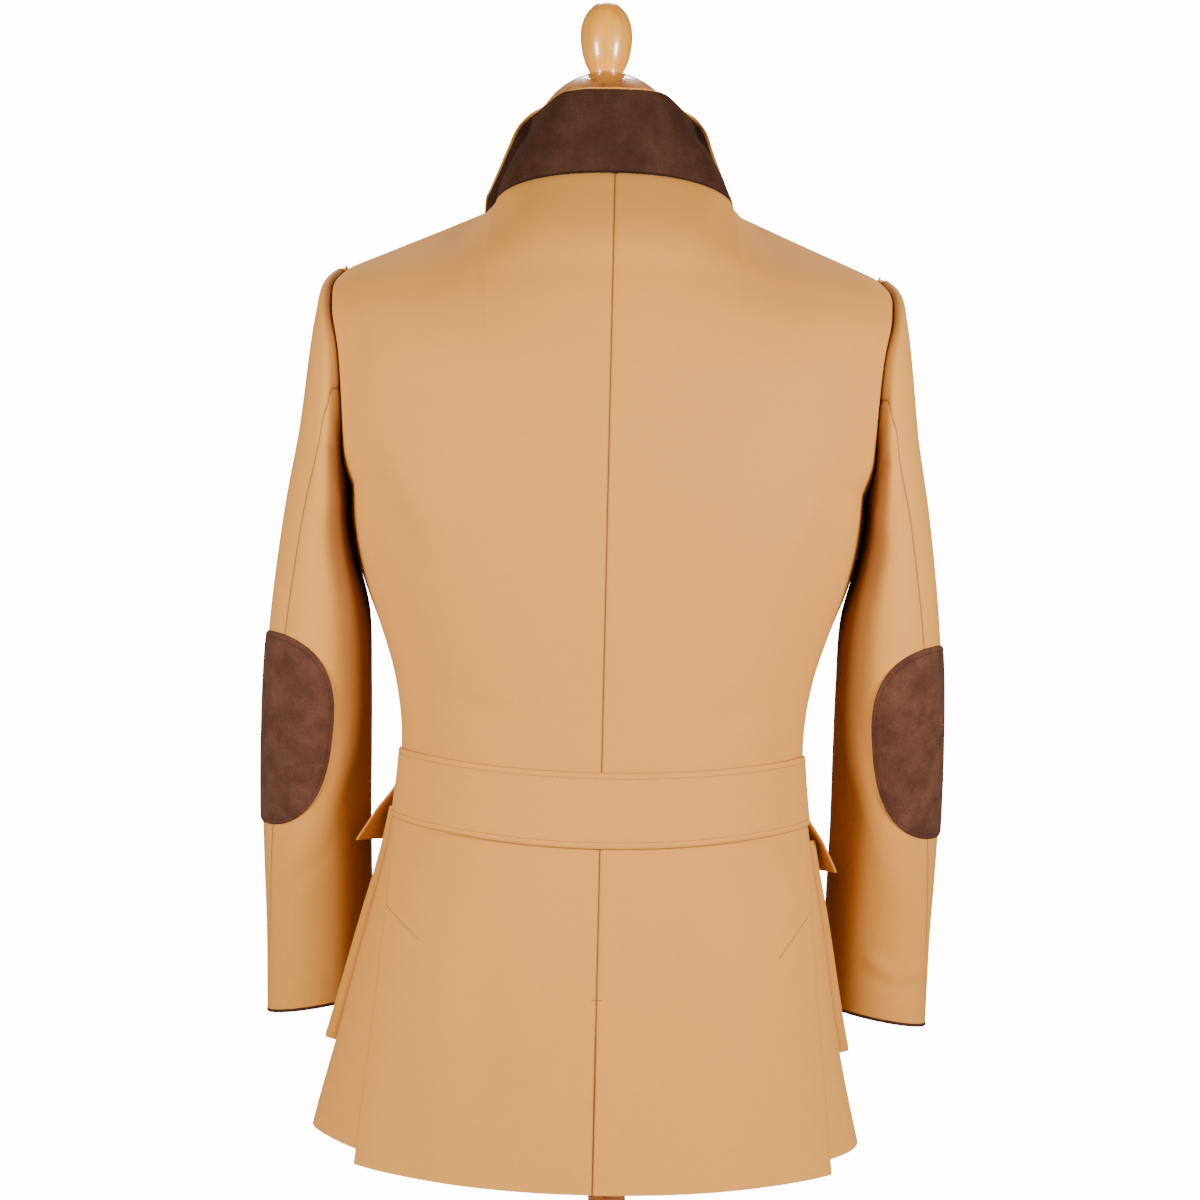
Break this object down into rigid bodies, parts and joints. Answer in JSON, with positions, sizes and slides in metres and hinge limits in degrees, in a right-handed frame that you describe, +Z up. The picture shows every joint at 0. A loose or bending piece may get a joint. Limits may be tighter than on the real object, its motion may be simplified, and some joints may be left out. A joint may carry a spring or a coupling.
{
  "type": "cotton jacket on a dress form",
  "caption": "Tan cotton field jacket with suede collar, elbow patches and a half belt, carried by a limbless dress form on a low stand.",
  "frame": {"origin": "centre of the stand base's underside, on the floor", "axes": "+Z up, the jacket's front faces -Y, its back faces +Y, the wearer's left is +X"},
  "size_m": [0.5944, 0.3159, 1.1823],
  "materials": {
    "cotton": "matte brushed cotton twill",
    "suede": "napped suede",
    "button": "satin horn",
    "form_linen": "plain linen cover",
    "varnished_wood": "glossy varnish",
    "stand_wood": "satin varnish"
  },
  "bodies": {
    "root": {"back_left": "cotton", "back_right": "cotton", "base": "stand_wood", "belt_back": "cotton", "button_1": "button", "button_2": "button", "button_3": "button", "button_4": "button", "collar_inner": "cotton", "collar_outer": "suede", "cuff_binding_left": "suede", "cuff_binding_right": "suede", "elbow_patch_left": "suede", "elbow_patch_right": "suede", "finial": "varnished_wood", "flap_left": "cotton", "flap_right": "cotton", "form_torso": "form_linen", "front_left": "cotton", "front_right": "cotton", "neck_cap": "stand_wood", "pleat_under_left": "cotton", "pleat_under_right": "cotton", "pocket_left": "cotton", "pocket_right": "cotton", "pole": "stand_wood", "skirt_left": "cotton", "skirt_right": "cotton", "sleeve_top_left": "cotton", "sleeve_top_right": "cotton", "sleeve_under_left": "cotton", "sleeve_under_right": "cotton"}
  },
  "joints": []
}
